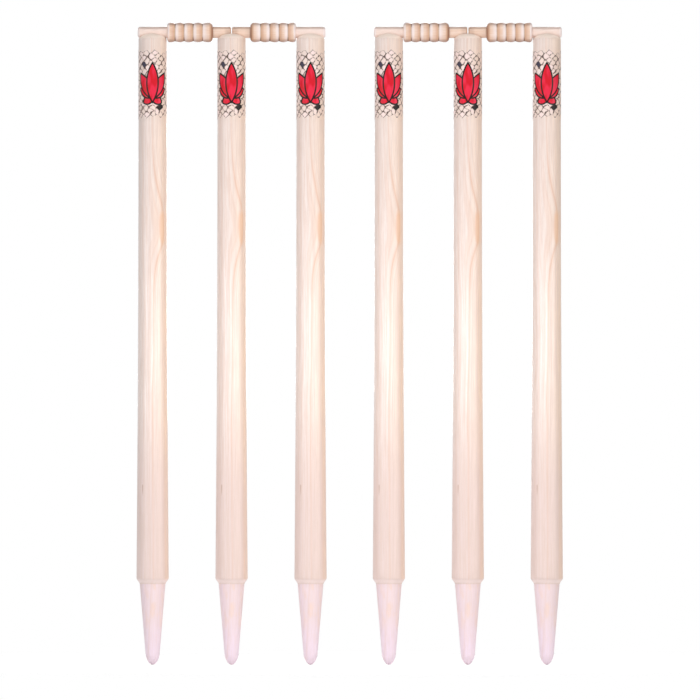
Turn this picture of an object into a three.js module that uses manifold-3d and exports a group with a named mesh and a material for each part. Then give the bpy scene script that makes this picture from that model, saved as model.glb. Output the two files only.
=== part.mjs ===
// Cricket stumps: two wickets side by side, as one set for a match.
// Each wicket has three turned wooden stumps, and two loose bails lie in the
// grooves across their crowns. A printed film band is wrapped round each head.
// Millimetres, +Z up, +X from the left wicket to the right one, +Y away from the bowler.
// The origin is on the ground line, midway between the two middle stumps.

import * as THREE from "three";
import { mergeVertices } from "three/addons/utils/BufferGeometryUtils.js";
import Module from "manifold-3d";

// Layout: a wicket's width is over the heads of its two end stumps
const wicketWidth = 239.4;
const wicketSpacing = 304;

// Stump above the ground line
const bodyHeight = 711;
const headDiameter = 36.2;
const shoulderDiameter = 41.6;
const shoulderFoot = 1;
const shoulderHeight = 10.1;
const flarePower = 2.2;

// Crown: the upper half of an ellipsoid
const crownRise = 9;

// Spike below the ground line: a straight taper to the tip, rounded off by the nose
const spikeLength = 102;
const spikeRootDiameter = 32.8;
const noseDiameter = 18.1;
const noseLength = 14;
const nosePower = 2;

// Bail: a barrel of beads between a short spigot and a long one
const spigotDiameter = 14.3;
const shortSpigotEndRound = 1.7;
const longSpigotEndRound = 3;
const spigotAxisAboveCrown = 0.7;
const barrelDiameter = 25.3;
const beadValleyDepth = 1.3;
const beadWidthShares = [0.228, 0.2, 0.2, 0.194, 0.178];
const shortEndRound = 5.2;
const longEndRound = 3.4;

// Fits between bails and stumps
const grooveClearance = 0.3;
const barrelHeadClearance = 0.4;
const barrelMiddleGap = 5.9;
const bailEndGap = 1.6;
const bailOverhang = 1;
const cutOverrun = 5;

// Printed band round the head
const bandTopDrop = 21.5;
const bandHeight = 90;
const filmThickness = 0.15;
const filmGap = 0.05;

// Facets
const stumpSides = 28;
const bailSides = 20;
const noseSteps = 6;
const shoulderSteps = 5;
const flareSteps = 6;
const crownSteps = 6;
const beadSteps = 3;
const weldDistance = 0.001;

// Places that follow from the sizes above
const stumpPitch = (wicketWidth - headDiameter) / 2;
const bailAxisHeight = bodyHeight + spigotAxisAboveCrown;
const barrelLength = stumpPitch - headDiameter - barrelHeadClearance - barrelMiddleGap;
const shortSpigotLength = barrelMiddleGap + (headDiameter - bailEndGap) / 2;
const longSpigotLength = barrelHeadClearance + headDiameter + bailOverhang;
const rimHeight = bodyHeight - crownRise;

const wasm = await Module();
wasm.setup();

// Finishes
const finishes = {
  stump: { color: 0xf1dcd1, roughness: 0.42, metalness: 0 },
  bail: { color: 0xe9c9b4, roughness: 0.45, metalness: 0 },
  band: { color: 0xeadfd6, roughness: 0.35, metalness: 0 },
};

// Profiles are lists of [radius, height] from the low end of the axis to the high end

/** Points of a quarter ellipse that leaves a side wall and turns level, or the other way round. */
function quarterRound(wall, level, steps, levelFirst) {
  const points = [];
  for (let i = 0; i <= steps; i += 1) {
    const turn = (Math.PI / 2) * (i / steps);
    const towardsLevel = levelFirst ? Math.cos(turn) : Math.sin(turn);
    const alongAxis = levelFirst ? Math.sin(turn) : 1 - Math.cos(turn);
    const start = levelFirst ? level : wall;
    const end = levelFirst ? wall : level;
    points.push([
      wall[0] + (level[0] - wall[0]) * towardsLevel,
      start[1] + (end[1] - start[1]) * alongAxis,
    ]);
  }
  return points;
}

/** Radius of the spike's straight taper at a height below the ground line. */
function taperRadius(height) {
  const share = -height / (spikeLength - noseLength);
  return (spikeRootDiameter + (noseDiameter - spikeRootDiameter) * share) / 2;
}

function spikeProfile() {
  const points = [[0, -spikeLength]];
  for (let i = noseSteps - 1; i >= 0; i -= 1) {
    const turn = (Math.PI / 2) * (i / noseSteps);
    const height = noseLength - spikeLength - noseLength * Math.sin(turn) ** (2 / nosePower);
    points.push([taperRadius(height) * Math.cos(turn), height]);
  }
  points.push([spikeRootDiameter / 2, 0]);
  return points;
}

function shoulderProfile() {
  const points = [];
  const rootRadius = spikeRootDiameter / 2;
  const shoulderRadius = shoulderDiameter / 2;
  for (let i = 0; i <= shoulderSteps; i += 1) {
    const share = i / shoulderSteps;
    const swell = (1 - Math.cos(Math.PI * share)) / 2;
    points.push([
      rootRadius + (shoulderRadius - rootRadius) * swell,
      shoulderFoot + (shoulderHeight - shoulderFoot) * share,
    ]);
  }
  return points;
}

/** Radius of the body at a height between the shoulder and the crown. */
function bodyRadius(height) {
  const share = Math.max(0, rimHeight - height) / (rimHeight - shoulderHeight);
  return (headDiameter + (shoulderDiameter - headDiameter) * share ** flarePower) / 2;
}

function bodyProfile() {
  const points = [];
  for (let i = 1; i <= flareSteps; i += 1) {
    const height = shoulderHeight + (rimHeight - shoulderHeight) * (i / flareSteps);
    points.push([bodyRadius(height), height]);
  }
  return points;
}

function crownProfile() {
  const points = [];
  for (let i = 1; i < crownSteps; i += 1) {
    const turn = (Math.PI / 2) * (i / crownSteps);
    points.push([(headDiameter / 2) * Math.cos(turn), rimHeight + crownRise * Math.sin(turn)]);
  }
  points.push([0, bodyHeight]);
  return points;
}

/** Points of a bow that rises from its foot and meets its crest level, or the other way round. */
function bow(foot, crest, steps, crestFirst) {
  const points = [];
  for (let i = 0; i <= steps; i += 1) {
    const climb = crestFirst ? 1 - i / steps : i / steps;
    points.push([
      crest[0] - (crest[0] - foot[0]) * (1 - climb) ** 2,
      foot[1] + (crest[1] - foot[1]) * climb,
    ]);
  }
  return points;
}

/** One bead, from its foot at `low` over its crest to its foot at `high`. */
function beadProfile(low, high, crestPlace) {
  const crest = [barrelDiameter / 2, crestPlace];
  const rise = low.curve([low.radius, low.place], crest, beadSteps, false);
  const fall = high.curve([high.radius, high.place], crest, beadSteps, true);
  return [...rise, ...fall.slice(1)];
}

function barrelProfile() {
  const points = [];
  const valleyRadius = barrelDiameter / 2 - beadValleyDepth;
  const spigotRadius = spigotDiameter / 2;
  let place = shortSpigotLength;
  beadWidthShares.forEach((share, index) => {
    const width = barrelLength * share;
    const low = { radius: valleyRadius, place, curve: bow };
    const high = { radius: valleyRadius, place: place + width, curve: bow };
    let crestPlace = place + width / 2;
    if (index === 0) {
      low.radius = spigotRadius;
      low.curve = quarterRound;
      crestPlace = low.place + shortEndRound;
    }
    if (index === beadWidthShares.length - 1) {
      high.radius = spigotRadius;
      high.curve = quarterRound;
      crestPlace = high.place - longEndRound;
    }
    const bead = beadProfile(low, high, crestPlace);
    points.push(...(index === 0 ? bead : bead.slice(1)));
    place += width;
  });
  return points;
}

function bailProfile() {
  const spigotRadius = spigotDiameter / 2;
  const bailLength = shortSpigotLength + barrelLength + longSpigotLength;
  return [
    [0, 0],
    [spigotRadius - shortSpigotEndRound, 0],
    [spigotRadius, shortSpigotEndRound],
    ...barrelProfile(),
    [spigotRadius, bailLength - longSpigotEndRound],
    [spigotRadius - longSpigotEndRound, bailLength],
    [0, bailLength],
  ];
}

function bandProfile() {
  const top = bodyHeight - bandTopDrop;
  const bottom = top - bandHeight;
  const inner = filmGap;
  const outer = filmGap + filmThickness;
  return [
    [bodyRadius(bottom) + outer, bottom],
    [bodyRadius(top) + outer, top],
    [bodyRadius(top) + inner, top],
    [bodyRadius(bottom) + inner, bottom],
    [bodyRadius(bottom) + outer, bottom],
  ];
}

/** A turned solid about +Z from a profile. */
function turned(profile, sides) {
  const outline = profile.map(([radius, height]) => new THREE.Vector2(radius, height));
  return new THREE.LatheGeometry(outline, sides).rotateX(Math.PI / 2);
}

/** Welds a geometry's corners and drops the empty faces that a lathe leaves at its poles. */
function welded(geometry) {
  const bare = geometry.clone();
  bare.deleteAttribute("normal");
  bare.deleteAttribute("uv");
  const merged = mergeVertices(bare, weldDistance);
  const kept = [];
  for (let i = 0; i < merged.index.count; i += 3) {
    const [a, b, c] = [merged.index.getX(i), merged.index.getX(i + 1), merged.index.getX(i + 2)];
    if (a !== b && b !== c && c !== a) {
      kept.push(a, b, c);
    }
  }
  merged.setIndex(kept);
  return merged;
}

/** Cuts one closed geometry out of another. */
function cut(geometry, tool) {
  const [solid, cutter] = [geometry, tool].map((source) => {
    const { attributes, index } = welded(source);
    return new wasm.Manifold(
      new wasm.Mesh({
        numProp: 3,
        vertProperties: new Float32Array(attributes.position.array),
        triVerts: new Uint32Array(index.array),
      }),
    );
  });
  const mesh = solid.subtract(cutter).getMesh();
  const result = new THREE.BufferGeometry();
  result.setAttribute("position", new THREE.BufferAttribute(mesh.vertProperties, 3));
  result.setIndex(new THREE.BufferAttribute(mesh.triVerts, 1));
  result.computeVertexNormals();
  return result;
}

/** A turned stump with the groove for the bails across its crown, along +X. */
function stumpGeometry() {
  const body = turned(
    [...spikeProfile(), ...shoulderProfile(), ...bodyProfile(), ...crownProfile()],
    stumpSides,
  );
  const grooveRadius = spigotDiameter / 2 + grooveClearance;
  const grooveLength = headDiameter + 2 * cutOverrun;
  const groove = new THREE.CylinderGeometry(grooveRadius, grooveRadius, grooveLength, bailSides);
  groove.rotateZ(-Math.PI / 2);
  groove.translate(0, 0, bailAxisHeight);
  return cut(body, groove);
}

/** A bail along +X from the end of its short spigot, on its own axis. */
function bailGeometry() {
  return turned(bailProfile(), bailSides).rotateY(Math.PI / 2);
}

function bandGeometry() {
  return turned(bandProfile(), stumpSides);
}

function piece(name, geometry, finish) {
  const mesh = new THREE.Mesh(geometry, new THREE.MeshStandardMaterial(finish));
  mesh.name = name;
  return mesh;
}

// Stumps of a wicket, by how many pitches each stands outwards of the middle one
const stumpPlaces = { outer: 1, middle: 0, inner: -1 };
const bailPlaces = { outer: 1, inner: -1 };

/** One wicket about its middle stump. `outwards` is +1 or -1, the way along X to its outer stump. */
function wicket(side, outwards) {
  const group = new THREE.Group();
  for (const [place, pitches] of Object.entries(stumpPlaces)) {
    const stand = new THREE.Group();
    stand.position.x = outwards * pitches * stumpPitch;
    stand.add(piece(`${side}_wicket_${place}_stump`, stumpGeometry(), finishes.stump));
    stand.add(piece(`${side}_wicket_${place}_label`, bandGeometry(), finishes.band));
    group.add(stand);
  }
  for (const [place, pitches] of Object.entries(bailPlaces)) {
    const bail = piece(`${side}_wicket_${place}_bail`, bailGeometry(), finishes.bail);
    const along = outwards * pitches;
    bail.position.set((along * bailEndGap) / 2, 0, bailAxisHeight);
    bail.rotation.z = along > 0 ? 0 : Math.PI;
    group.add(bail);
  }
  group.position.x = (outwards * wicketSpacing) / 2;
  return group;
}

const stumps = new THREE.Group();
stumps.add(wicket("left", -1));
stumps.add(wicket("right", 1));

export default stumps;
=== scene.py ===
"""Looks of two cricket wickets: six turned stumps with printed film bands, and four beaded bails."""

import logging
import math
from dataclasses import asdict, dataclass, field
from enum import Enum

import bmesh
import bpy
from bpy.types import Material, Node, NodeInputs, NodeSocket, NodeTree, Object
from mathutils import Matrix, Vector
from mathutils.kdtree import KDTree


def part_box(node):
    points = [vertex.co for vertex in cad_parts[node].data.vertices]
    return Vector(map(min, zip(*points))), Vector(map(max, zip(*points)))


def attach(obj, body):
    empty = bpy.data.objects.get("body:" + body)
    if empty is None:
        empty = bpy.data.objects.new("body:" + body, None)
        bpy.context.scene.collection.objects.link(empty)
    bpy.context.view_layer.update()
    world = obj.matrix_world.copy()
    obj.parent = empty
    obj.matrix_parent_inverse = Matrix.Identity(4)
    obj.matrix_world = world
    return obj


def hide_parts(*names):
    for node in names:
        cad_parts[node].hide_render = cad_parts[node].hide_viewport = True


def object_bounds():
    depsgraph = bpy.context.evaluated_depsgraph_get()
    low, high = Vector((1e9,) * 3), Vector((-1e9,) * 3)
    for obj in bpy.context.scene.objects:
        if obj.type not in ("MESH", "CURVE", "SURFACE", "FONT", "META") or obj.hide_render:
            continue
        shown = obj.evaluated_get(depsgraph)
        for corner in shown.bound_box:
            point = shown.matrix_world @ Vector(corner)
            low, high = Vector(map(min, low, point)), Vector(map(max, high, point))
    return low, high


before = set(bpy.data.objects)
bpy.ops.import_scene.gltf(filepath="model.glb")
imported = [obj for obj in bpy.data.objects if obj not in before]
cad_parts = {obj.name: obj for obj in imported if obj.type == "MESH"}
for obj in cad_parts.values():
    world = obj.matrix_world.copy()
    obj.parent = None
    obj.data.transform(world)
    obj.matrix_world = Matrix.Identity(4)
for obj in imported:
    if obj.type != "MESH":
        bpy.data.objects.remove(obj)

CAD_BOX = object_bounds()
LOG = logging.getLogger("wickets")

MM = 0.001
FULL_TURN = 2 * math.pi
QUARTER_TURN = math.pi / 2
WELD = 0.002 * MM
PLACE = "lathe_place"
RELIEF = "lathe_relief"
AXIAL = "axial_lean"
LOT = "wood_lot"

Pair = tuple[float, float]
Outline = list[Pair]
Colour = tuple[float, float, float, float]


def ink(*screen: int) -> Colour:
    """A linear colour from the values that a screen shows.

    Args:
        screen: red, green and blue, each 0 to 255.

    Returns:
        The linear red, green and blue, with alpha 1.
    """
    linear = []
    for value in screen:
        share = value / 255
        linear.append(share / 12.92 if share <= 0.04045 else ((share + 0.055) / 1.055) ** 2.4)
    return (*linear, 1.0)


@dataclass(frozen=True)
class Value:
    """What a node puts out, for sums with numbers and with other values."""

    nodes: "Nodes"
    socket: NodeSocket

    def __add__(self, other: object) -> "Value":
        """This value and another together."""
        return self.nodes.math("ADD", self, other)

    def __sub__(self, other: object) -> "Value":
        """This value less another."""
        return self.nodes.math("SUBTRACT", self, other)

    def __rsub__(self, other: object) -> "Value":
        """Another value less this one."""
        return self.nodes.math("SUBTRACT", other, self)

    def __mul__(self, other: object) -> "Value":
        """This value times another."""
        return self.nodes.math("MULTIPLY", self, other)

    def __truediv__(self, other: object) -> "Value":
        """This value divided by another."""
        return self.nodes.math("DIVIDE", self, other)

    def __abs__(self) -> "Value":
        """This value without its sign."""
        return self.nodes.math("ABSOLUTE", self)

    def step(self, low: object, high: object, start: float = 0.0, end: float = 1.0) -> "Value":
        """A smooth step from start to end as this value goes from low to high."""
        inputs = {"Value": self, "From Min": low, "From Max": high, "To Min": start, "To Max": end}
        return self.nodes.add("MapRange", inputs, interpolation_type="SMOOTHSTEP")[0]


@dataclass(frozen=True)
class Outputs:
    """A node's outputs, by name or number."""

    nodes: "Nodes"
    node: Node

    def __getitem__(self, key: int | str) -> Value:
        """The value of one output."""
        return Value(self.nodes, self.node.outputs[key])


@dataclass(frozen=True)
class Nodes:
    """Adds nodes to one node tree and joins them."""

    tree: NodeTree

    def feed(self, socket: NodeSocket, value: object) -> None:
        """Links a value into a socket, or sets the socket's own constant.

        Args:
            socket: the input socket.
            value: the value or the constant.
        """
        if isinstance(value, Value):
            self.tree.links.new(value.socket, socket)
        else:
            socket.default_value = value

    def add(self, kind: str, inputs: dict | None = None, **settings: object) -> Outputs:
        """Adds a node.

        Args:
            kind: the node's type, without its ShaderNode prefix.
            inputs: what goes into its sockets, by socket name or number.
            settings: the node's own options.

        Returns:
            The new node's outputs.
        """
        node = self.tree.nodes.new("ShaderNode" + kind)
        for name, value in settings.items():
            setattr(node, name, value)
        for name, value in (inputs or {}).items():
            self.feed(node.inputs[name], value)
        return Outputs(self, node)

    def math(self, operation: str, *values: object, clamp: bool = False) -> Value:
        """The result of a Math node on the values."""
        return self.add("Math", dict(enumerate(values)), operation=operation, use_clamp=clamp)[0]

    def vector(self, operation: str, *values: object) -> Value:
        """The vector that a Vector Math node makes of the values."""
        return self.add("VectorMath", dict(enumerate(values)), operation=operation)[0]

    def length(self, across: Value, up: Value) -> Value:
        """The length of a line that goes so far across and so far up."""
        return self.math("SQRT", across * across + up * up)

    def mix(self, share: object, first: object, second: object) -> Value:
        """The colour between the first and the second, by share."""
        return self.add("Mix", {0: share, 6: first, 7: second}, data_type="RGBA")[2]

    def paint(self, colour: object, *coats: tuple[object, object]) -> object:
        """Lays coats of colour over one another.

        Args:
            colour: the colour under them all.
            coats: the share of each coat, from 0 to 1, and its colour.

        Returns:
            The colour that shows.
        """
        for share, coat in coats:
            colour = self.mix(share, colour, coat)
        return colour

    def noise(self, place: Value, waves: tuple, detail: float = 2.0, roughness: float = 0.5) -> Value:
        """Soft noise from 0 to 1, with so many waves to a unit of place along each axis."""
        inputs = {"Vector": self.vector("MULTIPLY", place, waves), "Scale": 1.0}
        return self.add("TexNoise", {**inputs, "Detail": detail, "Roughness": roughness})[0]

    def turned(self, place: Value, degrees: float) -> Value:
        """A place on the flat, turned about the origin."""
        inputs = {"Vector": place, "Angle": math.radians(degrees)}
        return self.add("VectorRotate", inputs, rotation_type="Z_AXIS")[0]

    def joined(self, **parts: Value) -> Value:
        """The vector with these parts, named X, Y and Z."""
        return self.add("CombineXYZ", parts)[0]

    def parts(self, place: Value) -> tuple[Value, Value, Value]:
        """The X, Y and Z of a vector."""
        found = self.add("SeparateXYZ", {0: place})
        return found[0], found[1], found[2]

    def read(self, attribute: str, output: str = "Fac") -> Value:
        """What an attribute of the piece's own mesh says."""
        return self.add("Attribute", attribute_name=attribute)[output]

    def effect(self, group: NodeTree, **inputs: object) -> Outputs:
        """Places a shared effect, with its inputs by their names in lower case and underscores."""
        named = {name.replace("_", " ").title(): value for name, value in inputs.items()}
        return self.add("Group", named, node_tree=group)


class Effect:
    """A shader node group that several materials share."""

    KINDS = {"Place": "NodeSocketVector", "Colour": "NodeSocketColor"}

    def __init__(self, name: str, inputs: tuple[str, ...], outputs: tuple[str, ...]) -> None:
        """Makes the group. Its sockets are numbers, but for a place and a colour.

        Args:
            name: the group's name.
            inputs: the names of its inputs.
            outputs: the names of its outputs.
        """
        self.group = bpy.data.node_groups.new(name, "ShaderNodeTree")
        for way, sockets in (("INPUT", inputs), ("OUTPUT", outputs)):
            for socket in sockets:
                kind = self.KINDS.get(socket, "NodeSocketFloat")
                self.group.interface.new_socket(socket, in_out=way, socket_type=kind)
        self.nodes = Nodes(self.group)
        self.given = Outputs(self.nodes, self.group.nodes.new("NodeGroupInput"))
        self.result = self.group.nodes.new("NodeGroupOutput").inputs

    def put_out(self, **sockets: Value) -> NodeTree:
        """Feeds the group's outputs.

        Args:
            sockets: what goes into each, by its name in lower case.

        Returns:
            The finished group.
        """
        for name, value in sockets.items():
            self.nodes.feed(self.result[name.title()], value)
        return self.group


def wood_grain() -> NodeTree:
    """The grain of a stick cut beside the pith of its tree, with the grain along the place's Z.

    Returns:
        A group that puts out growth rings, fibres, pores and a broad tone, each from 0 to 1.
    """
    effect = Effect(
        "wood_grain",
        ("Place", "Lot", "Ring Width", "Pith X", "Pith Y", "Lean", "Wander", "Swell", "Bold Year"),
        ("Rings", "Fibres", "Pores", "Tone"),
    )
    n, given = effect.nodes, effect.given
    millimetres = n.vector("MULTIPLY", given["Place"], [1 / MM] * 3)
    between_lots = 413.0
    own = n.vector("ADD", millimetres, n.joined(Z=given["Lot"] * between_lots))
    x, y, z = n.parts(millimetres)

    wander = (n.noise(own, (0.05, 0.05, 0.011)) - 0.5) * given["Wander"]
    pith_x = given["Lean"] * z + given["Pith X"]
    from_pith = n.length(x - pith_x, y - given["Pith Y"])
    years = (from_pith + wander + given["Swell"]) / given["Ring Width"]
    part_of_year = n.math("FRACT", years)
    year = n.math("FLOOR", years)
    strength = n.add("TexWhiteNoise", {"W": year}, noise_dimensions="1D")["Value"]
    bold = n.math("COMPARE", year, given["Bold Year"], 0.5)
    strength = n.math("MAXIMUM", strength * 0.42 + 0.14, bold)
    late = part_of_year.step(0.45, 0.9) * part_of_year.step(0.92, 1.0, 1.0, 0.0)
    finer_years = years * 1.7
    finer = n.math("FRACT", finer_years).step(0.5, 0.95, 0.0, 0.4)

    fibres = n.noise(own, (0.62, 0.62, 0.022), detail=4.0, roughness=0.72)
    pores = n.noise(own, (4.2, 4.2, 0.16), detail=1.0)
    tone = n.noise(own, (0.13, 0.13, 0.004), detail=1.0)
    return effect.put_out(rings=n.math("MAXIMUM", late * strength, finer), fibres=fibres.step(0.4, 0.6),
                          pores=pores.step(0.62, 0.8), tone=tone.step(0.25, 0.75))


def handling_marks() -> NodeTree:
    """Faint rubs and turning rings left on a satin surface.

    Returns:
        A group that puts out marks from 0 to 1 and the height of the turning rings.
    """
    effect = Effect("handling_marks", ("Place",), ("Marks", "Turning"))
    n, place = effect.nodes, effect.given["Place"]
    rubs = n.noise(place, (95.0, 95.0, 34.0), detail=5.0, roughness=0.66)
    turning = n.noise(place, (6.0, 6.0, 1900.0), detail=1.0)
    return effect.put_out(marks=rubs.step(0.42, 0.75), turning=turning)


def new_finish(name: str) -> tuple[Material, Nodes, NodeInputs]:
    """Makes a material.

    Args:
        name: its name.

    Returns:
        The material, its nodes and its shader's sockets.
    """
    made = bpy.data.materials.new(name)
    made.use_nodes = True
    return made, Nodes(made.node_tree), made.node_tree.nodes["Principled BSDF"].inputs


@dataclass(frozen=True)
class Stick:
    """How a piece was cut from its tree, in millimetres, and which year's ring is the bold one."""

    ring_width: float
    pith_x: float
    pith_y: float
    lean: float
    wander: float
    bold_year: float

    def grain(self, n: Nodes, group: NodeTree, place: Value, lot: Value, swell: object = 0.0) -> Outputs:
        """The grain effect on this stick, with its rings pushed outwards by the swell."""
        return n.effect(group, place=place, lot=lot, swell=swell, **asdict(self))


@dataclass(frozen=True)
class Sheen:
    """How a surface shines, and how far its grain stands proud."""

    roughness: float
    specular: float
    bump_strength: float = 0.25
    bump_distance: float = 0.05 * MM
    rub: float = 0.12

    def give(self, n: Nodes, shader: NodeInputs, marks: Value, height: Value) -> None:
        """Feeds a shader's roughness and normal, and sets its specular level.

        Args:
            n: the material's nodes.
            shader: the shader's sockets.
            marks: the handling marks, from 0 to 1.
            height: the height of the grain.
        """
        n.feed(shader["Roughness"], marks * self.rub + self.roughness)
        inputs = {"Height": height, "Strength": self.bump_strength, "Distance": self.bump_distance}
        n.feed(shader["Normal"], n.add("Bump", inputs)[0])
        shader["Specular IOR Level"].default_value = self.specular


@dataclass(frozen=True)
class StumpWood:
    """Pale straight-grained wood under a satin varnish, bare below the varnish line, with painted light on
    its crown and under its shoulder, and painted shade at its foot and in its upper hollows.
    """

    slot: str = "stump_wood"
    stick: Stick = Stick(ring_width=4.3, pith_x=89.6, pith_y=31.0, lean=-0.001, wander=2.0, bold_year=23.0)
    sheen: Sheen = Sheen(roughness=0.46, specular=0.25)
    coat_roughness: float = 0.25
    cool: Colour = ink(246, 231, 225)
    warm: Colour = ink(250, 224, 203)
    late_wood: Colour = ink(229, 189, 165)
    fibre: Colour = ink(227, 204, 193)
    pore: Colour = ink(202, 168, 150)
    heart: Colour = ink(240, 190, 150)
    bare: Colour = ink(244, 223, 226)
    bare_blush: Colour = ink(246, 219, 210)
    bare_lilac: Colour = ink(247, 228, 243)
    # painted light for the crown, painted shade for the foot and painted light for the shoulder's underside
    end_wood: Colour = ink(255, 236, 222)
    foot_tone: Colour = ink(232, 209, 205)
    under_wood: Colour = ink(255, 235, 231)
    rim_tan: Colour = ink(255, 206, 150)
    varnish_line: float = 2 * MM
    varnish_blur: float = 0.3 * MM
    polish_height: float = 316 * MM
    polish_fade: Pair = (190 * MM, 40 * MM)
    front: Pair = (4 * MM, -6 * MM)
    eye_height: float = 460 * MM
    eye_above: float = 80 * MM
    eye_below: float = 58 * MM
    eye_left: float = -8 * MM
    eye_width: float = 21 * MM
    eye_push: float = 16.0
    bow_height: float = 330 * MM
    bow_fade: Pair = (100 * MM, 20 * MM)
    bow_push: float = 1.6
    warm_side: Pair = (-8 * MM, 20 * MM)
    foot: Pair = (250 * MM, 100 * MM)
    right_rim: Pair = (13 * MM, 18 * MM)
    rim_fade: Pair = (440 * MM, 380 * MM)
    rings_rise: Pair = (60 * MM, 300 * MM)
    rings_fall: Pair = (500 * MM, 600 * MM)
    rings_side: Pair = (-14 * MM, -4 * MM)
    heart_push: Pair = (11.4, 13.8)
    heart_fade: Pair = (26 * MM, 15 * MM)
    heart_side: Pair = (16 * MM, 13 * MM)
    cross_cuts: Pair = (50 * MM, 100 * MM)
    lilac_tip: Pair = (-30 * MM, -84 * MM)
    lilac_side: Pair = (0.0, -12 * MM)
    grimy_top: Pair = (300 * MM, 600 * MM)
    fleck_place: Pair = (-12.6 * MM, 128 * MM)
    fleck_half_width: float = 0.8 * MM
    fleck_head: float = 3 * MM
    fleck_tail: float = 15 * MM

    def eye_swell(self, n: Nodes, x: Value, z: Value, front: Value) -> Value:
        """How far the rings are pushed aside round the eye, in millimetres.

        Args:
            n: the group's nodes.
            x: metres to the right of the stump's axis.
            z: metres above the ground line.
            front: 1 on the stump's front and 0 on its back.

        Returns:
            The push, which fades above, below and to the left of the eye.
        """
        above = (z - self.eye_height) / self.eye_above
        below = (self.eye_height - z) / self.eye_below
        away = n.math("MAXIMUM", above, below)
        near = n.math("EXPONENT", away * away * -1.0)
        across = n.math("DIVIDE", x - self.eye_left, self.eye_width, clamp=True)
        return near * front * (n.math("POWER", across, 1.1) * self.eye_push)

    def colour_group(self, grain: NodeTree) -> NodeTree:
        """The wood's colour, for the stump and for what shows it through a clear film.

        Args:
            grain: the grain effect.

        Returns:
            A group that puts out the colour, the height of its grain and the bare share.
        """
        effect = Effect("stump_wood_colour", ("Place", "Lot", "End Grain"), ("Colour", "Height", "Bare"))
        n, given = effect.nodes, effect.given
        x, y, z = n.parts(given["Place"])
        front = y.step(*self.front)
        swell = self.eye_swell(n, x, z, front)
        bow = abs(z - self.bow_height).step(*self.bow_fade, 0.0, self.bow_push)
        lines = self.stick.grain(n, grain, given["Place"], given["Lot"], swell + bow)

        at_rim = x.step(*self.right_rim) * z.step(*self.rim_fade, 0.0, 0.3)
        ring_share = z.step(*self.rings_rise, 0.34, 0.8) * z.step(*self.rings_fall, 1.0, 0.5)
        ring_share = ring_share * x.step(*self.rings_side, 0.5, 1.0)
        heart_ends = abs(z - self.eye_height).step(*self.heart_fade, 0.0, 0.6)
        heart = swell.step(*self.heart_push) * heart_ends * x.step(*self.heart_side, 0.4, 1.0)
        aside = (x - self.fleck_place[0]) / self.fleck_half_width
        rise = z - self.fleck_place[1]
        along = n.math("MAXIMUM", rise / self.fleck_head, rise / -self.fleck_tail)
        fleck = (aside * aside + along * along).step(1.0, 0.0, 0.0, 0.8) * front
        # painted light: faces that point up or down are painted paler, the crown above and the shoulder's
        # underside below
        painted_end_light = n.mix(z.step(*self.cross_cuts), self.under_wood, self.end_wood)
        colour = n.paint(
            self.cool,
            (x.step(*self.warm_side), self.warm),
            # painted shade: the body darkens towards its foot
            (z.step(*self.foot, 0.0, 0.75), self.foot_tone),
            (at_rim, self.rim_tan),
            (lines["Tone"] * 0.16, self.fibre),
            (lines["Fibres"] * 0.56, self.fibre),
            (lines["Rings"] * ring_share, self.late_wood),
            (heart, self.heart),
            (lines["Pores"] * 0.2, self.pore),
            (fleck, self.pore),
            # painted light on the faces that point along the stump's axis
            (given["End Grain"].step(0.02, 0.5, 0.0, 0.85), painted_end_light),
        )
        mottle = n.noise(given["Place"], (130.0, 130.0, 42.0))
        bare = n.paint(
            self.bare,
            (mottle.step(0.42, 0.66), self.bare_blush),
            (z.step(*self.lilac_tip, 0.0, 0.85), self.bare_lilac),
            (x.step(*self.lilac_side, 0.0, 0.4), self.bare_lilac),
            (lines["Fibres"] * 0.16, self.fibre),
            (lines["Rings"] * 0.22, self.late_wood),
        )
        is_bare = z.step(self.varnish_line + self.varnish_blur, self.varnish_line - self.varnish_blur)
        height = lines["Rings"] * 0.6 + lines["Pores"] * -0.8
        return effect.put_out(colour=n.mix(is_bare, colour, bare), height=height, bare=is_bare)

    def material(self, colour_group: NodeTree, marks: NodeTree) -> Material:
        """The finish of a stump.

        Args:
            colour_group: this wood's colour effect.
            marks: the handling marks effect.

        Returns:
            The material.
        """
        made, n, shader = new_finish("satin_stump_wood")
        place, axial = n.read(PLACE, "Vector"), n.read(AXIAL)
        wood = n.effect(colour_group, place=place, lot=n.read(LOT), end_grain=axial * axial)
        rubbed = n.effect(marks, place=place)
        height = n.parts(place)[2]
        # painted shade in the hollows of the stump's upper half, in the pore colour
        painted_hollow_shade = n.read(RELIEF).step(-0.1, -0.7) * height.step(*self.grimy_top, 0.0, 0.15)
        n.feed(shader["Base Color"], n.mix(painted_hollow_shade, wood["Colour"], self.pore))
        polish = abs(height - self.polish_height).step(*self.polish_fade, 0.4, 0.98)
        varnish = rubbed["Marks"] * -self.sheen.rub + polish
        n.feed(shader["Coat Weight"], varnish * (1.0 - wood["Bare"]))
        shader["Coat Roughness"].default_value = self.coat_roughness
        ridges = rubbed["Turning"] * (wood["Bare"] * 0.7 + 0.1)
        self.sheen.give(n, shader, rubbed["Marks"], wood["Height"] + ridges)
        return made


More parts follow.
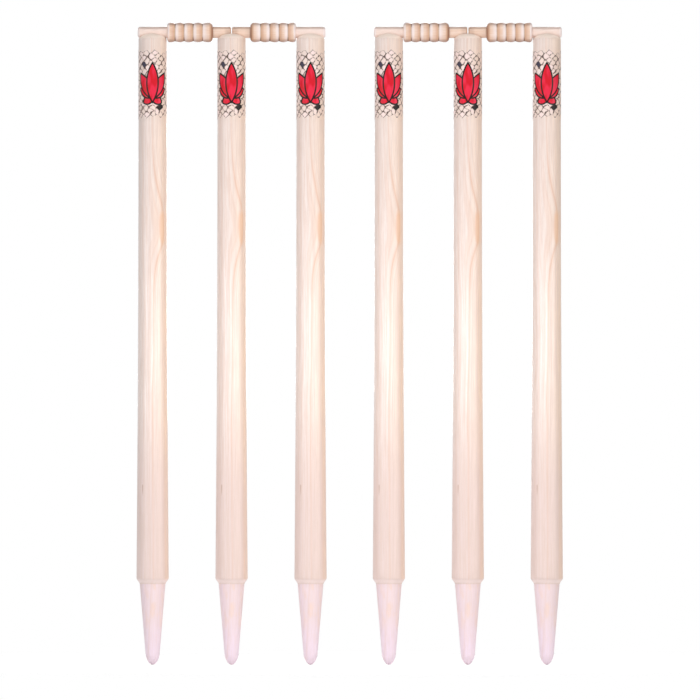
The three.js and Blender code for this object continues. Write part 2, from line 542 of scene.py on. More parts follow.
@dataclass(frozen=True)
class BailWood:
    """Warmer wood of the turned bails, with painted shade in their cuts and along their top and bottom, and
    painted highlights and shade on their beads.

    On the lathe, a bail's X is the way down and its Z runs from the end of its short spigot.
    """

    slot: str = "bail_wood"
    stick: Stick = Stick(ring_width=2.4, pith_x=24.0, pith_y=-14.0, lean=0.04, wander=2.2, bold_year=9.0)
    sheen: Sheen = Sheen(roughness=0.4, specular=0.18)
    coat_weight: float = 0.22
    coat_roughness: float = 0.22
    pale: Colour = ink(248, 224, 210)
    warm: Colour = ink(243, 210, 187)
    late_wood: Colour = ink(218, 170, 138)
    rubbed_pale: Colour = ink(254, 237, 233)
    # colour of the painted shade in the cuts between the beads
    groove: Colour = ink(122, 80, 58)
    weathered: Colour = ink(146, 106, 88)
    root_shade: Colour = ink(150, 102, 76)
    pore: Colour = ink(184, 138, 110)
    end_wood: Colour = ink(222, 180, 152)
    rim_radius: float = 12.65 * MM
    spigot_radius: float = 7.15 * MM
    spigot_skin: Pair = (9.15 * MM, 7.65 * MM)
    underside: Pair = (2 * MM, 12 * MM)
    short_tip: Pair = (10 * MM, 4 * MM)
    short_root: Pair = (20 * MM, 22 * MM)
    last_cut: Pair = (82 * MM, 80 * MM)
    long_root: Pair = (81 * MM, 84 * MM)

    def material(self, grain: NodeTree, marks: NodeTree) -> Material:
        """The finish of a bail.

        Args:
            grain: the grain effect.
            marks: the handling marks effect.

        Returns:
            The material.
        """
        made, n, shader = new_finish("satin_bail_wood")
        place, axial = n.read(PLACE, "Vector"), n.read(AXIAL)
        lines = self.stick.grain(n, grain, place, n.read(LOT))
        rubbed = n.effect(marks, place=place)
        down, aside, along = n.parts(place)
        at_short_root = axial.step(-0.3, -0.8) * along.step(*self.short_root)
        on_spigot = n.length(down, aside).step(*self.spigot_skin)
        on_top = down.step(-0.4 * self.spigot_radius, -self.spigot_radius, 0.0, 0.6)
        upright = abs(down) / self.rim_radius
        # painted shade in the cuts between the beads, strongest towards the bail's top and bottom
        cut = n.read(RELIEF).step(-0.12, -0.62) * upright.step(0.35, 0.9, 0.28, 0.9)
        colour = n.paint(
            self.pale,
            (lines["Tone"], self.warm),
            (lines["Fibres"] * 0.35, self.warm),
            (lines["Rings"] * 0.5, self.late_wood),
            (lines["Pores"] * 0.25, self.pore),
            # paler from the long end of the barrel along the long spigot
            (along.step(*self.long_root, 0.0, 0.55), self.rubbed_pale),
            # painted highlight on each bead's side that faces the long spigot
            (axial.step(0.0, 0.26, 0.0, 0.95), self.rubbed_pale),
            # painted shade on each bead's side that faces the short spigot
            (axial.step(0.0, -0.3, 0.0, 0.75), self.late_wood),
            # painted shade along the bail's underside
            (down.step(*self.underside, 0.0, 0.35), self.late_wood),
            (abs(axial).step(0.8, 1.0, 0.0, 0.6), self.end_wood),
            (at_short_root * 0.8, self.root_shade),
            (along.step(*self.short_tip, 0.0, 0.25), self.root_shade),
            # painted shade on the tops of the spigots
            (on_spigot * on_top, self.weathered),
            # painted shade along the bail's top and bottom
            (upright.step(0.6, 0.98, 0.0, 0.74), self.weathered),
            (cut * along.step(*self.last_cut, 0.25, 1.0), self.groove),
        )
        n.feed(shader["Base Color"], colour)
        self.sheen.give(n, shader, rubbed["Marks"], lines["Rings"] + rubbed["Turning"] * 0.3)
        shader["Coat Weight"].default_value = self.coat_weight
        shader["Coat Roughness"].default_value = self.coat_roughness
        return made


@dataclass(frozen=True)
class Petal:
    """One pointed petal of the printed palmette, in millimetres on the unrolled film."""

    root_up: float
    lean: float
    half_length: float
    half_width: float


@dataclass(frozen=True)
class PrintedFilm:
    """Clear film printed with pale paving and a red palmette, in millimetres on the unrolled film."""

    slot: str = "printed_film"
    sheen: Sheen = Sheen(roughness=0.34, specular=0.18, bump_strength=0.15, bump_distance=0.04 * MM)
    cream: Colour = ink(240, 221, 211)
    shell: Colour = ink(253, 232, 229)
    tan: Colour = ink(236, 208, 186)
    shade: Colour = ink(216, 186, 172)
    line: Colour = ink(72, 50, 44)
    black: Colour = ink(26, 19, 17)
    slate: Colour = ink(66, 62, 80)
    red: Colour = ink(221, 26, 44)
    rose: Colour = ink(240, 46, 76)
    cell: float = 6.6
    cell_scatter: float = 0.55
    cell_bend: float = 3.0
    dark_cell_reach: float = 0.52
    line_width: float = 0.42
    line_blur: float = 0.12
    line_strength: float = 0.92
    stroke_width: float = 0.6
    stroke_place: float = 0.775
    back: Pair = (20.0, 30.0)
    back_width: float = 0.55
    keyline: float = 2.0
    petal_blur: float = 0.15
    slant_degrees: float = 42.0
    print_shift: float = 151.0
    print_half_height: float = 41.8
    print_raggedness: float = 3.0
    black_cell: Pair = (10.0, -31.0)
    slate_cell: Pair = (-11.0, 27.0)

    def petal_group(self) -> NodeTree:
        """The distance to a pointed petal, below 0 inside it.

        Returns:
            A group that puts out the distance in millimetres.
        """
        inputs = ("Across", "Up", "Root Up", "Lean", "Half Length", "Half Width")
        effect = Effect("petal", inputs, ("Distance",))
        n, given = effect.nodes, effect.given
        across, up = given["Across"], given["Up"] - given["Root Up"]
        half_length, half_width = given["Half Length"], given["Half Width"]
        cosine = n.math("COSINE", given["Lean"])
        sine = n.math("SINE", given["Lean"])
        along = across * sine + up * cosine - half_length
        aside = across * cosine - up * sine
        radius = (half_length * half_length + half_width * half_width) / (half_width * 2.0)
        reach = abs(aside) + (radius - half_width)
        return effect.put_out(distance=n.length(reach, along) - radius)

    def palmette(self) -> list[Petal]:
        """Lists the petals, those beside the middle in pairs.

        Returns:
            The petals from the hindmost to the front one.
        """
        petals = []
        for root_up, lean, length, width in ((-17.0, 118.0, 13.0, 8.0), (-15.5, 60.0, 19.5, 10.0),
                                             (-17.5, 29.0, 35.0, 12.0), (-21.0, 0.0, 47.0, 13.0)):
            for side in (-1, 1) if lean else (1,):
                petals.append(Petal(root_up, math.radians(side * lean), length / 2, width / 2))
        return petals

    def material(self, wood: NodeTree, marks: NodeTree, radius: float, middle: float) -> Material:
        """The finish of a film band.

        Args:
            wood: the colour effect of the wood under the film.
            marks: the handling marks effect.
            radius: the band's outer radius.
            middle: the height of the band's middle.

        Returns:
            The material.
        """
        made, n, shader = new_finish("printed_clear_film")
        place = n.read(PLACE, "Vector")
        x, y, z = n.parts(place)
        across = n.math("ARCTAN2", x, y * -1.0) * (radius / MM)
        up = (z - middle) * (1 / MM)
        flat = n.joined(X=across, Y=up)
        clear = n.effect(wood, place=place, lot=n.read(LOT), end_grain=0.0)
        colour = self.paving(n, flat, across, clear["Colour"])
        patches = n.noise(flat, (0.13, 0.05, 0.0), detail=1.0)
        fill = n.mix(patches.step(0.4, 0.62), self.red, self.rose)
        petal, blur = self.petal_group(), self.petal_blur
        for one in self.palmette():
            distance = n.effect(petal, across=across, up=up, **asdict(one))[0]
            outlined = distance.step(self.keyline + blur, self.keyline - blur)
            colour = n.paint(colour, (outlined, self.black), (distance.step(blur, -blur), fill))
        n.feed(shader["Base Color"], colour)
        self.sheen.give(n, shader, n.effect(marks, place=place)["Marks"], clear["Height"])
        return made

    def paving(self, n: Nodes, flat: Value, across: Value, clear: Value) -> Value:
        """Pale cells with thin dark edges, printed only where a whole cell fits.

        Args:
            n: the material's nodes.
            flat: the place on the unrolled film, from the middle of its front.
            across: how far that place is round the band from its front.
            clear: the colour that shows where nothing is printed.

        Returns:
            The colour with the paving printed on it.
        """
        bend = n.noise(flat, (0.16, 0.16, 0.0), detail=1.0) * self.cell_bend
        bent = n.vector("ADD", flat, n.joined(X=bend + self.print_shift))
        slanted = n.turned(bent, self.slant_degrees)
        spacing = {"Vector": slanted, "Scale": 1 / self.cell, "Randomness": self.cell_scatter}
        cells = n.add("TexVoronoi", spacing, voronoi_dimensions="2D", feature="F1")
        edges = n.add("TexVoronoi", spacing, voronoi_dimensions="2D", feature="DISTANCE_TO_EDGE")
        edge = edges["Distance"] * self.cell
        cell_across, cell_up, _ = n.parts(n.turned(cells["Position"], -self.slant_degrees))
        tint_draw, _, edge_draw = n.parts(cells["Color"])
        tint = n.paint(
            self.cream,
            (tint_draw, self.shell),
            (across.step(2.0, 15.0, 0.0, 0.6), self.tan),
            (edge.step(1.8, 0.2, 0.0, 0.5), self.shade),
        )
        for (place, height), dark in ((self.black_cell, self.black), (self.slate_cell, self.slate)):
            aside = cell_across - (place + self.print_shift + self.cell_bend / 2)
            above = cell_up - height
            away = aside * aside + above * above
            tint = n.mix(n.math("LESS_THAN", away, (self.dark_cell_reach * self.cell) ** 2), tint, dark)

        finer = abs(across).step(*self.back, 1.0, self.back_width)
        weight = n.noise(flat, (0.3, 0.3, 0.0))
        width = weight.step(0.38, 0.66, -0.2, 1.7) * self.line_width * finer
        drawn = edge.step(width + self.line_blur, width - self.line_blur)
        out = cells["Distance"] * self.cell
        corner = out.step(4.1, 4.6) * edge.step(1.3, 0.9)
        broken = n.noise(slanted, (0.11, 0.11, 0.0), detail=0.0)
        width = broken.step(0.46, 0.54) * self.stroke_width * finer
        beside = n.math("PINGPONG", n.parts(slanted)[0] - self.stroke_place * self.cell, self.cell)
        stroke = beside.step(width + 0.1, width - 0.15)
        drawn = n.math("MAXIMUM", n.math("MAXIMUM", drawn, corner), stroke)
        tint = n.mix(drawn * self.line_strength, tint, self.line)
        limit = edge_draw * -self.print_raggedness + self.print_half_height
        return n.mix(n.math("LESS_THAN", abs(cell_up), limit), clear, tint)


def deselect_all() -> None:
    """Leaves no object selected."""
    bpy.ops.object.select_all(action="DESELECT")


def pick(obj: Object) -> None:
    """Makes one object the selected and active one.

    Args:
        obj: the object.
    """
    deselect_all()
    obj.select_set(True)
    bpy.context.view_layer.objects.active = obj


def settle(obj: Object, place: Vector) -> None:
    """Moves an object to its place, and keeps the place in its mesh.

    Args:
        obj: the object.
        place: where it goes.
    """
    pick(obj)
    bpy.ops.transform.translate(value=tuple(place))
    bpy.ops.object.transform_apply(location=True, rotation=True, scale=True)


def even_steps(start: float, end: float, steps: int) -> list[float]:
    """The ends of so many even steps from start to end."""
    return [start + (end - start) * step / steps for step in range(1, steps + 1)]


def quarter_round(steps: int) -> Outline:
    """A quarter of an ellipse, square to the axis at its foot, as shares of the way out and along."""
    return [(math.sin(turn), 1 - math.cos(turn)) for turn in even_steps(0.0, QUARTER_TURN, steps)]


def bow(steps: int) -> Outline:
    """A bow that leaves its foot at a slope, as shares of the way out and along."""
    return [(1 - (1 - share) ** 2, share) for share in even_steps(0.0, 1.0, steps)]


def wave(steps: int) -> Outline:
    """A curve that is level with the axis at both ends, as shares of the way out and along."""
    return [((1 - math.cos(math.pi * share)) / 2, share) for share in even_steps(0.0, 1.0, steps)]


def traced(curve: Outline, foot: Pair, crest: Pair) -> Outline:
    """The points of a curve of shares after its foot, up to its crest."""
    (radius, place), (out, along) = foot, (crest[0] - foot[0], crest[1] - foot[1])
    return [(radius + out * out_share, place + along * along_share) for out_share, along_share in curve]


@dataclass
class TurnedPiece:
    """A piece made on a lathe: an outline spun about Z, then dressed for its finish."""

    name: str = "turned_master"
    sides: int = 96
    smooth_angle: float = math.radians(34)
    edge_share: float = 0.25
    least_area: float = 1e-12
    full_curve: float = 0.5
    hollow: float = -0.15
    grime_reach: float = 1.6 * MM

    def outline(self) -> Outline:
        """The piece's half outline as radius and height, from its foot to its top."""
        raise NotImplementedError

    def cut(self, obj: Object) -> None:
        """Cuts what the lathe can't turn, which is nothing on most pieces."""

    def spin(self) -> Object:
        """Draws the outline from one point and spins it into a closed form.

        Returns:
            The turned object, with its place in its mesh.
        """
        deselect_all()
        points = self.outline()
        bpy.ops.mesh.primitive_plane_add(size=MM, location=(points[0][0], 0, points[0][1]))
        obj = bpy.context.object
        obj.name = self.name
        bpy.ops.object.transform_apply(location=True)
        bpy.ops.object.mode_set(mode="EDIT")
        bpy.ops.mesh.select_mode(type="VERT")
        bpy.ops.mesh.merge(type="CENTER")
        for (radius, height), (next_radius, next_height) in zip(points, points[1:]):
            move = (next_radius - radius, 0, next_height - height)
            bpy.ops.mesh.extrude_vertices_move(TRANSFORM_OT_translate={"value": move})
        bpy.ops.mesh.select_all(action="SELECT")
        bpy.ops.mesh.spin(steps=self.sides, angle=FULL_TURN, center=(0, 0, 0), axis=(0, 0, 1))
        bpy.ops.mesh.select_all(action="SELECT")
        bpy.ops.mesh.remove_doubles(threshold=WELD)
        bpy.ops.mesh.normals_make_consistent(inside=False)
        bpy.ops.object.mode_set(mode="OBJECT")
        return obj

    def mark(self, obj: Object) -> None:
        """Keeps on the mesh what its finish reads: its place on the lathe, its relief and its axial lean.

        Args:
            obj: the turned object, still upright about Z.
        """
        mesh = obj.data
        shape = bmesh.new()
        shape.from_mesh(mesh)
        shape.normal_update()
        relief = []
        for vertex in shape.verts:
            area = sum(face.calc_area() / len(face.verts) for face in vertex.link_faces)
            bends = (edge.calc_face_angle_signed(0.0) * edge.calc_length() for edge in vertex.link_edges)
            curve = self.edge_share * sum(bends) / max(area, self.least_area) * MM
            relief.append(max(-1.0, min(1.0, curve / self.full_curve)))
        axial = [vertex.normal.z for vertex in shape.verts]
        relief = self.spread_hollows(shape, relief)
        shape.free()
        places = [value for vertex in mesh.vertices for value in vertex.co]
        mesh.attributes.new(PLACE, "FLOAT_VECTOR", "POINT").data.foreach_set("vector", places)
        for name, values in ((RELIEF, relief), (AXIAL, axial)):
            mesh.attributes.new(name, "FLOAT", "POINT").data.foreach_set("value", values)
        pick(obj)
        bpy.ops.object.shade_smooth_by_angle(angle=self.smooth_angle)

    def spread_hollows(self, shape: bmesh.types.BMesh, relief: list[float]) -> list[float]:
        """Spreads each hollow's painted shade to what lies close beside it.

        Args:
            shape: the piece's mesh.
            relief: each vertex's relief, below 0 in a hollow.

        Returns:
            Each vertex's relief, or the faded relief of a deeper hollow within reach.
        """
        hollows = [vertex for vertex in shape.verts if relief[vertex.index] < self.hollow]
        tree = KDTree(len(hollows))
        for number, vertex in enumerate(hollows):
            tree.insert(vertex.co, number)
        tree.balance()
        spread = list(relief)
        for vertex in shape.verts:
            for _, number, distance in tree.find_range(vertex.co, self.grime_reach):
                faded = relief[hollows[number].index] * (1 - distance / self.grime_reach)
                spread[vertex.index] = min(spread[vertex.index], faded)
        return spread

    def build(self) -> Object:
        """Builds the master that the wickets' own pieces are copied from.

        Returns:
            The master, marked for its finish.
        """
        obj = self.spin()
        self.cut(obj)
        self.mark(obj)
        return obj


@dataclass
class StumpForm(TurnedPiece):
    """A stump: rounded nose, tapered spike, shoulder, long body, domed crown and bail groove."""

    name: str = "stump_master"
    spike_length: float = 102 * MM
    spike_root_radius: float = 16.4 * MM
    nose_radius: float = 9.05 * MM
    nose_length: float = 14 * MM
    shoulder_radius: float = 20.8 * MM
    shoulder_foot: float = 1 * MM
    shoulder_height: float = 10.1 * MM
    flare_power: float = 2.2
    head_radius: float = 18.1 * MM
    body_height: float = 711 * MM
    crown_rise: float = 9 * MM
    groove_radius: float = 7.45 * MM
    groove_axis_above_crown: float = 0.7 * MM
    groove_sides: int = 96
    groove_overrun: float = 5 * MM

    @property
    def rim_height(self) -> float:
        """The height at which the crown starts."""
        return self.body_height - self.crown_rise

    def taper_radius(self, height: float) -> float:
        """The radius of the spike's straight taper at a height below the ground line."""
        share = -height / (self.spike_length - self.nose_length)
        return self.spike_root_radius + (self.nose_radius - self.spike_root_radius) * share

    def body_radius(self, height: float) -> float:
        """The body's radius at a height between its shoulder and its crown."""
        share = max(0.0, self.rim_height - height) / (self.rim_height - self.shoulder_height)
        return self.head_radius + (self.shoulder_radius - self.head_radius) * share**self.flare_power

    def outline(self) -> Outline:
        """Draws the stump from the tip of its spike to the middle of its crown.

        Returns:
            The half outline, as radius and height.
        """
        nose_steps, spike_steps, shoulder_steps, body_steps, crown_steps = 14, 10, 14, 60, 22
        points: Outline = [(0.0, -self.spike_length)]
        nose_start = self.nose_length - self.spike_length
        for step in range(nose_steps - 1, -1, -1):
            turn = QUARTER_TURN * step / nose_steps
            height = nose_start - self.nose_length * math.sin(turn)
            points.append((self.taper_radius(height) * math.cos(turn), height))
        spike = even_steps(nose_start, 0.0, spike_steps)
        points += [(self.taper_radius(height), height) for height in spike]
        foot = (self.spike_root_radius, self.shoulder_foot)
        crest = (self.shoulder_radius, self.shoulder_height)
        points += [foot, *traced(wave(shoulder_steps), foot, crest)]
        body = even_steps(self.shoulder_height, self.rim_height, body_steps)
        points += [(self.body_radius(height), height) for height in body]
        top, rim = (0.0, self.body_height), (self.head_radius, self.rim_height)
        points += reversed(traced(quarter_round(crown_steps), top, rim)[:-1])
        return [*points, top]

    def cut(self, obj: Object) -> None:
        """Cuts the round groove along X across the crown.

        Args:
            obj: the turned stump.
        """
        deselect_all()
        bpy.ops.mesh.primitive_cylinder_add(
            vertices=self.groove_sides,
            radius=self.groove_radius,
            depth=2 * (self.head_radius + self.groove_overrun),
            location=(0, 0, self.body_height + self.groove_axis_above_crown),
            rotation=(0, QUARTER_TURN, 0),
        )
        cutter = bpy.context.object
        bpy.ops.object.transform_apply(location=True, rotation=True)
        pick(obj)
        groove = obj.modifiers.new("groove", "BOOLEAN")
        groove.operation = "DIFFERENCE"
        groove.solver = "EXACT"
        groove.object = cutter
        bpy.ops.object.modifier_apply(modifier=groove.name)
        bpy.data.objects.remove(cutter)
        bpy.ops.object.mode_set(mode="EDIT")
        bpy.ops.mesh.select_all(action="SELECT")
        bpy.ops.mesh.remove_doubles(threshold=WELD)
        bpy.ops.object.mode_set(mode="OBJECT")


@dataclass
class FilmForm(TurnedPiece):
    """The printed band round a stump's head."""

    name: str = "film_master"
    stump: StumpForm = field(default_factory=StumpForm)
    top_drop: float = 21.5 * MM
    height: float = 90 * MM
    thickness: float = 0.15 * MM
    gap: float = 0.05 * MM
    rows: int = 12

    @property
    def middle(self) -> float:
        """The height of the band's middle."""
        return self.stump.body_height - self.top_drop - self.height / 2

    def outer_radius(self, height: float) -> float:
        """The band's outer radius at a height."""
        return self.stump.body_radius(height) + self.gap + self.thickness

    def outline(self) -> Outline:
        """Draws the band's section.

        Returns:
            The section once round, as radius and height.
        """
        inner, outer = [], []
        for row in range(self.rows + 1):
            height = self.middle + self.height * (row / self.rows - 0.5)
            radius = self.outer_radius(height)
            inner.append((radius - self.thickness, height))
            outer.append((radius, height))
        return [*outer, *reversed(inner), outer[0]]


@dataclass
class BailForm(TurnedPiece):
    """A bail: a barrel of five beads between a short and a long spigot."""

    name: str = "bail_master"
    sides: int = 72
    smooth_angle: float = math.radians(40)
    round_steps: int = 9
    spigot_radius: float = 7.15 * MM
    short_spigot_round: float = 1.7 * MM
    long_spigot_round: float = 3 * MM
    barrel_radius: float = 12.65 * MM
    valley_depth: float = 1.3 * MM
    barrel_length: float = 59.1 * MM
    short_spigot: float = 23.2 * MM
    long_spigot: float = 37.6 * MM
    short_end_round: float = 5.2 * MM
    long_end_round: float = 3.4 * MM
    bead_shares: tuple[float, ...] = (0.228, 0.2, 0.2, 0.194, 0.178)
    root_ring: float = 0.5 * MM

    @property
    def length(self) -> float:
        """The bail's whole length."""
        return self.short_spigot + self.barrel_length + self.long_spigot

    def outline(self) -> Outline:
        """Draws the bail from the end of its short spigot to that of its long one.

        Returns:
            The half outline, as radius and place along the axis.
        """
        quarter, bowed = quarter_round(self.round_steps), bow(self.round_steps)
        spigot, valley = self.spigot_radius, self.barrel_radius - self.valley_depth
        near_ring, far_ring = self.root_ring, 3 * self.root_ring
        foot = (spigot - self.short_spigot_round, 0.0)
        points = [(0.0, 0.0), foot, *traced(quarter, foot, (spigot, self.short_spigot_round))]
        start = self.short_spigot
        points += [(spigot, start - far_ring), (spigot, start - near_ring), (spigot, start)]
        for number, share in enumerate(self.bead_shares):
            end = start + self.barrel_length * share
            crest, foot, end_foot = (start + end) / 2, (valley, start), (valley, end)
            rise, fall = bowed, bowed
            if number == 0:
                crest, foot, rise = start + self.short_end_round, (spigot, start), quarter
            if number == len(self.bead_shares) - 1:
                crest, end_foot, fall = end - self.long_end_round, (spigot, end), quarter
            points += traced(rise, foot, (self.barrel_radius, crest))
            points += [*reversed(traced(fall, end_foot, (self.barrel_radius, crest))[:-1]), end_foot]
            start = end
        points += [(spigot, start + near_ring), (spigot, start + far_ring)]
        foot = (spigot - self.long_spigot_round, self.length)
        points += reversed(traced(quarter, foot, (spigot, self.length - self.long_spigot_round)))
        return [*points, foot, (0.0, self.length)]


class Bearing(Enum):
    """Which way a bail's long spigot points along X."""

    LEFT = -1
    RIGHT = 1


@dataclass(frozen=True)
class Finish:
    """A material, and the record's slot that pieces with it belong to."""

    material: Material
    slot: str


@dataclass(frozen=True)
class Kind:
    """What pieces of one kind share: their form, the master they are copied from and their finish."""

    form: TurnedPiece
    master: Object
    finish: Finish

    def copy(self, name: str, lot: float) -> Object:
        """Copies the master, with a mesh of its own.

        Args:
            name: the copy's name.
            lot: a number that varies the copy's wood.

        Returns:
            The copy, at the master's place and with the kind's material.
        """
        pick(self.master)
        bpy.ops.object.duplicate(linked=False)
        made = bpy.context.object
        made.name = name
        made.data.name = name
        values = [lot] * len(made.data.vertices)
        made.data.attributes.new(LOT, "FLOAT", "POINT").data.foreach_set("value", values)
        made.data.materials.clear()
        made.data.materials.append(self.finish.material)
        return made


def make_kinds() -> dict[str, Kind]:
    """Builds the masters, the shared effects and the materials that use them.

    Returns:
        The three kinds of piece, by name.
    """
    stump = StumpForm()
    forms = {"stump": stump, "film": FilmForm(stump=stump), "bail": BailForm()}
    masters = {name: form.build() for name, form in forms.items()}
    grain, marks = wood_grain(), handling_marks()
    stump_wood, bail_wood, film = StumpWood(), BailWood(), PrintedFilm()
    colour = stump_wood.colour_group(grain)
    middle = forms["film"].middle
    finishes = {
        "stump": Finish(stump_wood.material(colour, marks), stump_wood.slot),
        "bail": Finish(bail_wood.material(grain, marks), bail_wood.slot),
        "film": Finish(film.material(colour, marks, forms["film"].outer_radius(middle), middle), film.slot),
    }
    return {name: Kind(form, masters[name], finishes[name]) for name, form in forms.items()}


@dataclass
class Wicket:
    """Three stumps with their film bands and two bails, named as the frame names them."""

    side: str
    kinds: dict[str, Kind]
    first_lot: float
    stump_lot_step: float = 0.1
    outer_bail_lot: float = 3.1
    inner_bail_lot: float = 4.7

    def middle_of(self, node: str) -> Vector:
        """The middle of a frame node's box."""
        low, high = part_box(node)
        return (low + high) / 2

    def seat(self, obj: Object, body: str, node: str) -> None:
        """Gives a piece its body and hides the frame node that it stands for.

        Args:
            obj: the piece, in place.
            body: the frame body that it rides on.
            node: the frame node that it replaces.
        """
        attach(obj, body)
        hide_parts(node)
        LOG.info("%s rides %s, %d faces", obj.name, body, len(obj.data.polygons))

    def add_stump(self, position: str, lot: float) -> None:
        """Adds one stump and its film band.

        Args:
            position: outer, middle or inner.
            lot: a number that varies its wood.
        """
        body = "middle_stumps" if position == "middle" else f"{self.side}_{position}_stump"
        axis = Vector((self.middle_of(f"{self.side}_wicket_{position}_stump").x, 0, 0))
        for kind, name, part in (("stump", "turned_stump", "stump"), ("film", "film_band", "label")):
            piece = self.kinds[kind].copy(f"{self.side}_{position}_{name}", lot)
            settle(piece, axis)
            self.seat(piece, body, f"{self.side}_wicket_{position}_{part}")

    def add_bail(self, position: str, bearing: Bearing, lot: float) -> None:
        """Adds one bail with its long spigot over the end stump.

        Args:
            position: outer or inner.
            bearing: which way its long spigot points.
            lot: a number that varies its wood.
        """
        node, kind = f"{self.side}_wicket_{position}_bail", self.kinds["bail"]
        bail = kind.copy(f"{self.side}_{position}_turned_bail", lot)
        turn = Matrix.Rotation(QUARTER_TURN, 4, "Y")
        if bearing is Bearing.LEFT:
            turn = Matrix.Rotation(math.pi, 4, "Z") @ turn
        bail.matrix_world = turn @ Matrix.Translation((0, 0, -kind.form.length / 2))
        settle(bail, self.middle_of(node))
        self.seat(bail, f"{self.side}_{position}_bail", node)

    def build(self) -> None:
        """Adds the wicket's pieces from its outer stump inwards."""
        for number, position in enumerate(("outer", "middle", "inner")):
            self.add_stump(position, self.first_lot + number * self.stump_lot_step)
        outer, inner = Bearing.LEFT, Bearing.RIGHT
        if self.side == "right":
            outer, inner = inner, outer
        self.add_bail("outer", outer, self.first_lot + self.outer_bail_lot)
        self.add_bail("inner", inner, self.first_lot + self.inner_bail_lot)


@dataclass(frozen=True)
class Lamp:
    """A soft rectangular lamp that faces a point on the object."""

    name: str
    place: tuple[float, float, float]
    width: float
    height: float
    power: float

    def hang(self, target: Vector) -> None:
        """Adds the lamp, turned to the target and unseen by the camera.

        Args:
            target: the point that it faces.
        """
        data = bpy.data.lights.new(self.name, "AREA")
        data.shape = "RECTANGLE"
        data.size, data.size_y = self.width, self.height
        data.energy = self.power
        lamp = bpy.data.objects.new(self.name, data)
        bpy.context.scene.collection.objects.link(lamp)
        lamp.location = self.place
        lamp.rotation_euler = (target - Vector(self.place)).to_track_quat("-Z", "Y").to_euler()
        lamp.visible_camera = False


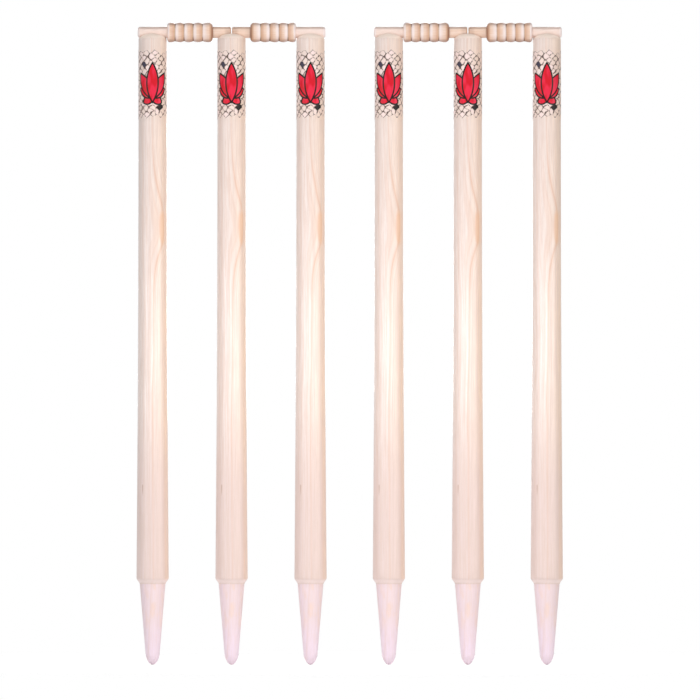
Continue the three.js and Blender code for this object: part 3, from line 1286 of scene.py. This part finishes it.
@dataclass(frozen=True)
class Studio:
    """The camera, the lamps, the pale surroundings and the floor."""

    photo_pixels: int = 700
    metres_per_pixel: float = 1.2868 * MM
    axis_pixel: float = 349.7
    ground_pixel: float = 585.5
    lens: float = 1000.0
    sensor: float = 36.0
    near_clip_share: float = 0.1
    far_clip_share: float = 4.0
    floor_sides: int = 96
    floor_radius: float = 1.1
    floor_solid_share: float = 0.35
    floor_drop: float = 0.3 * MM
    ambient: float = 0.24
    zenith_share: float = 1.2
    zenith_rise: Pair = (0.15, 0.9)
    floor_paper: float = 0.85
    floor_white: float = 0.4
    floor_glow: float = 1.68
    lamps: tuple[Lamp, ...] = (
        Lamp("left_soft_box", (-2.1, -1.5, 0.4), 1.2, 1.2, 14.5),
        Lamp("right_soft_box", (2.1, -1.5, 0.4), 1.2, 1.2, 17.5),
        Lamp("front_box", (0.0, -2.4, 0.3), 1.4, 0.6, 3.2),
        Lamp("front_strip", (0.0, -0.6, 0.318), 1.0, 0.11, 1.9),
        Lamp("high_front_box", (0.0, -0.9, 2.0), 1.3, 0.4, 9.6),
        Lamp("back_fill", (0.0, 2.6, 0.9), 0.9, 1.4, 42.0),
    )

    def add_camera(self) -> None:
        """Adds a camera with a very long lens, level and square to the wickets."""
        span = self.photo_pixels * self.metres_per_pixel
        centre_x = (self.photo_pixels / 2 - self.axis_pixel) * self.metres_per_pixel
        centre_z = (self.ground_pixel - self.photo_pixels / 2) * self.metres_per_pixel
        distance = span * self.lens / self.sensor
        data = bpy.data.cameras.new("long_lens")
        data.lens = self.lens
        data.sensor_width = self.sensor
        data.clip_start = distance * self.near_clip_share
        data.clip_end = distance * self.far_clip_share
        camera = bpy.data.objects.new("long_lens", data)
        bpy.context.scene.collection.objects.link(camera)
        camera.location = (centre_x, -distance, centre_z)
        camera.rotation_euler = (QUARTER_TURN, 0, 0)
        bpy.context.scene.camera = camera

    def seen_rays(self, n: Nodes) -> Value:
        """Tells the rays that look at a surface from those that light it.

        Args:
            n: the nodes to add to.

        Returns:
            1 for camera, glossy and transmission rays, and 0 for the others.
        """
        path = n.add("LightPath")
        reflected = n.math("MAXIMUM", path["Is Glossy Ray"], path["Is Transmission Ray"])
        return n.math("MAXIMUM", path["Is Camera Ray"], reflected)

    def add_world(self) -> None:
        """Surrounds the object with a white backdrop that lights it evenly and softly."""
        world = bpy.data.worlds.new("studio")
        bpy.context.scene.world = world
        world.use_nodes = True
        n = Nodes(world.node_tree)
        background = world.node_tree.nodes["Background"].inputs
        rise = n.parts(n.add("TexCoord")["Generated"])[2]
        walls = rise.step(*self.zenith_rise, self.ambient, self.ambient * self.zenith_share)
        seen = self.seen_rays(n)
        n.feed(background["Strength"], (1.0 - seen) * walls + seen)
        background["Color"].default_value = (1, 1, 1, 1)

    def add_floor(self, height: float) -> None:
        """Adds a pale round floor under the spikes that keeps their shadow and fades into the backdrop.

        Args:
            height: the height of the spikes' tips.
        """
        deselect_all()
        bpy.ops.mesh.primitive_circle_add(vertices=self.floor_sides, radius=self.floor_radius,
                                          fill_type="NGON", location=(0, 0, height - self.floor_drop))
        floor = bpy.context.object
        floor.name = "floor"
        bpy.ops.object.transform_apply(location=True)
        made = bpy.data.materials.new("floor")
        made.use_nodes = True
        nodes = made.node_tree.nodes
        nodes.remove(nodes["Principled BSDF"])
        n = Nodes(made.node_tree)
        x, y, _ = n.parts(n.add("TexCoord")["Object"])
        fade = n.length(x, y).step(self.floor_radius * self.floor_solid_share, self.floor_radius)
        paper = n.add("BsdfDiffuse", {"Color": (*[self.floor_paper] * 3, 1)})[0]
        glow = n.add("Emission", {"Color": (1, 1, 1, 1), "Strength": self.floor_glow})[0]
        white = self.seen_rays(n) * self.floor_white
        lit = n.add("MixShader", {0: white, 1: paper, 2: glow})[0]
        faded = n.add("MixShader", {0: fade, 1: lit, 2: n.add("BsdfTransparent")[0]})[0]
        n.feed(nodes["Material Output"].inputs["Surface"], faded)
        floor.data.materials.append(made)

    def set_up(self) -> None:
        """Adds the camera, the lamps, the backdrop and the floor."""
        low, high = CAD_BOX
        self.add_camera()
        for lamp in self.lamps:
            lamp.hang((low + high) / 2)
        self.add_world()
        self.add_floor(low.z)
        bpy.context.scene.view_settings.view_transform = "Standard"


def main() -> None:
    """Builds the masters, the two wickets and the studio."""
    logging.basicConfig(level=logging.INFO, format="%(message)s")
    kinds = make_kinds()
    for side, first_lot in (("left", 0.0), ("right", 0.55)):
        Wicket(side, kinds, first_lot).build()
    for kind in kinds.values():
        bpy.data.objects.remove(kind.master)
    Studio().set_up()


if __name__ == "__main__":
    main()
